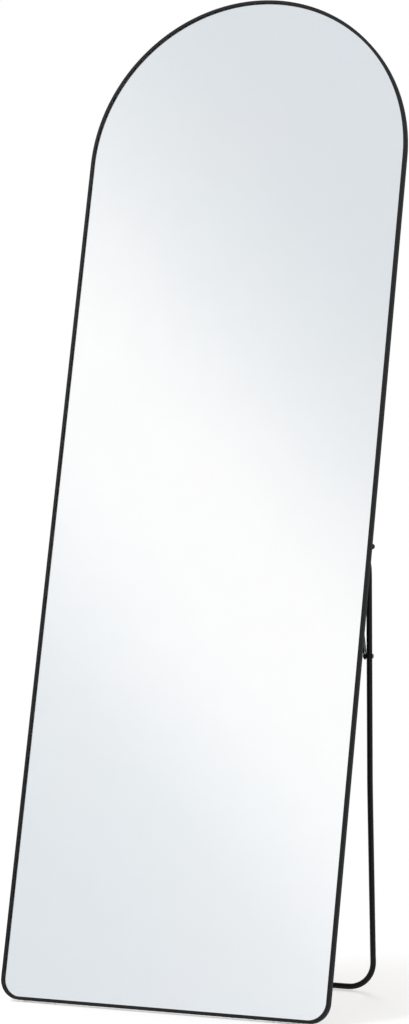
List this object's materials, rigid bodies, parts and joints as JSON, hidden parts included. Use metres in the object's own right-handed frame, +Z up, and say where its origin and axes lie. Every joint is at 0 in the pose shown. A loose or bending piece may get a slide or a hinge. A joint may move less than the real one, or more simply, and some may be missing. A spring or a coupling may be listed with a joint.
{
  "type": "floor mirror",
  "caption": "Arched full-length mirror in a thin black frame, leaning back on a folding U-shaped stand of round tube held open by slotted stays.",
  "frame": {"origin": "on the floor, under the middle of the bounding box", "axes": "+X to the right of someone who faces the glass, +Y to the back, +Z up"},
  "size_m": [0.6, 0.4772, 1.7427],
  "materials": {
    "frame_black": "matte",
    "black_steel": "satin",
    "mirror": "polished",
    "film": "satin",
    "cardboard": "matte",
    "hardboard": "matte",
    "rubber": "matte",
    "clear_rubber": "satin",
    "zinc": "satin",
    "nylon": "satin"
  },
  "bodies": {
    "mirror": {"frame_arch": "frame_black", "frame_bottom_rail": "frame_black", "frame_splice_left": "zinc", "frame_splice_right": "zinc", "splice_rivets": "black_steel", "mirror_glass": "mirror", "safety_film": "film", "cardboard_sheet": "cardboard", "back_board": "hardboard", "floor_pad_left": "clear_rubber", "floor_pad_right": "clear_rubber", "hinge_bracket_left": "black_steel", "hinge_bracket_right": "black_steel", "hinge_screws": "zinc", "stay_anchor_left": "black_steel", "stay_anchor_right": "black_steel", "anchor_screws": "zinc", "hanger_bracket_left": "zinc", "hanger_bracket_right": "zinc", "hanger_screws": "zinc", "pivot_bolt_left": "black_steel", "pivot_bolt_right": "black_steel", "pivot_washers": "nylon", "pivot_lock_nuts": "zinc", "anchor_rivets": "zinc"},
    "stand": {"stand_tube": "black_steel", "foot_sleeve_left": "rubber", "foot_sleeve_right": "rubber", "slide_pins": "black_steel"},
    "stay_left": {"stay_left": "black_steel"},
    "stay_right": {"stay_right": "black_steel"}
  },
  "joints": [
    {"name": "stand_fold", "type": "hinge", "parent": "mirror", "child": "stand", "pos_m": [0, -0.00687, 0.78055], "axis": [-1, 0, 0], "range_deg": [0, 21]},
    {"name": "stay_left_turn", "type": "hinge", "parent": "mirror", "child": "stay_left", "pos_m": [0, -0.02499, 0.71294], "axis": [-1, 0, 0], "range_deg": [0, 32.39]},
    {"name": "stay_right_turn", "type": "hinge", "parent": "mirror", "child": "stay_right", "pos_m": [0, -0.02499, 0.71294], "axis": [-1, 0, 0], "range_deg": [0, 32.39]}
  ],
  "couplings": [
    {"joint": "stay_left_turn", "follows": "stand_fold", "ratio": 1.5418},
    {"joint": "stay_right_turn", "follows": "stand_fold", "ratio": 1.5418}
  ]
}
